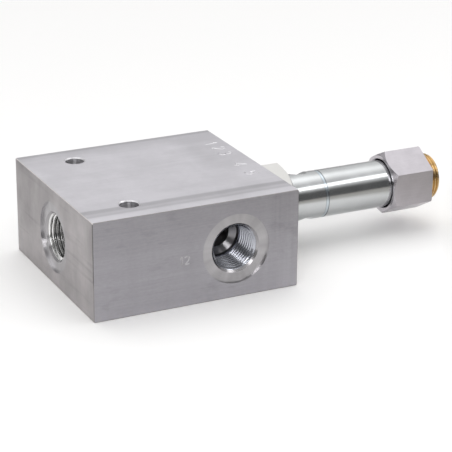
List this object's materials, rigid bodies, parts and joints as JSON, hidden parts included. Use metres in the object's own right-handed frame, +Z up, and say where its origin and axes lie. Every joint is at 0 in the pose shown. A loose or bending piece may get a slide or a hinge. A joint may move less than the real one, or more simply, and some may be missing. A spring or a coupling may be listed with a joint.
{
  "type": "hydraulic control valve",
  "caption": "Line-mounted hydraulic valve: rectangular aluminium block with threaded ports and mounting holes, and a screw-in solenoid cartridge without its coil.",
  "frame": {"origin": "centre of the block's flat bottom face", "axes": "+Z up, +X along the cartridge and out of the block, -Y out of the side port"},
  "size_m": [0.193, 0.092, 0.045],
  "materials": {
    "block_aluminium": "satin, milled top and front, sawn end face",
    "nut_aluminium": "satin, turned and milled",
    "zinc_plated_steel": "bright zinc plating over turned steel",
    "brazed_ring_alloy": "turned",
    "brass": "machined",
    "bearing_bronze": "machined",
    "hardened_steel": "ground",
    "soft_iron": "turned",
    "spring_steel": "drawn",
    "seal_rubber": "matt",
    "backup_ring_plastic": "matt"
  },
  "bodies": {
    "housing": {"valve_block": "block_aluminium", "cartridge_body": "zinc_plated_steel", "flange_oring": "seal_rubber", "nose_oring": "seal_rubber", "nose_backup_front": "backup_ring_plastic", "nose_backup_rear": "backup_ring_plastic", "retaining_ring": "spring_steel", "spring_seat": "hardened_steel", "spool_spring": "spring_steel", "pole_piece": "zinc_plated_steel", "pole_oring": "seal_rubber", "nonmagnetic_ring": "brazed_ring_alloy", "armature_tube": "zinc_plated_steel", "anti_stick_shim": "bearing_bronze", "front_bearing": "bearing_bronze", "rear_bearing": "bearing_bronze", "tube_end_piece": "brass"},
    "armature": {"armature": "soft_iron", "push_pin": "hardened_steel"},
    "spool": {"spool": "hardened_steel"},
    "override": {"override_pin": "hardened_steel", "override_oring": "seal_rubber"},
    "nut_seal": {"coil_nut_oring": "seal_rubber"},
    "coil_nut": {"coil_nut": "nut_aluminium"}
  },
  "joints": [
    {"name": "armature_stroke", "type": "slide", "parent": "housing", "child": "armature", "axis": [-1, 0, 0], "range_m": [0, 0.003], "stiffness_N_per_m": 4000, "springref_m": -0.0015},
    {"name": "spool_stroke", "type": "slide", "parent": "housing", "child": "spool", "axis": [-1, 0, 0], "range_m": [0, 0.003], "deforming": ["spool_spring"]},
    {"name": "override_push", "type": "slide", "parent": "housing", "child": "override", "axis": [-1, 0, 0], "range_m": [0, 0.003]},
    {"name": "nut_travel", "type": "slide", "parent": "housing", "child": "nut_seal", "axis": [1, 0, 0], "range_m": [0, 0.006]},
    {"name": "nut_turn", "type": "hinge", "parent": "nut_seal", "child": "coil_nut", "pos_m": [0.1245, 0, 0.0225], "axis": [1, 0, 0], "range_deg": [0, 1440]}
  ],
  "couplings": [
    {"joint": "spool_stroke", "follows": "armature_stroke", "ratio": 1},
    {"joint": "override_push", "follows": "armature_stroke", "ratio": 1},
    {"joint": "nut_travel", "follows": "nut_turn", "m_per_rad": 0.00023873}
  ]
}
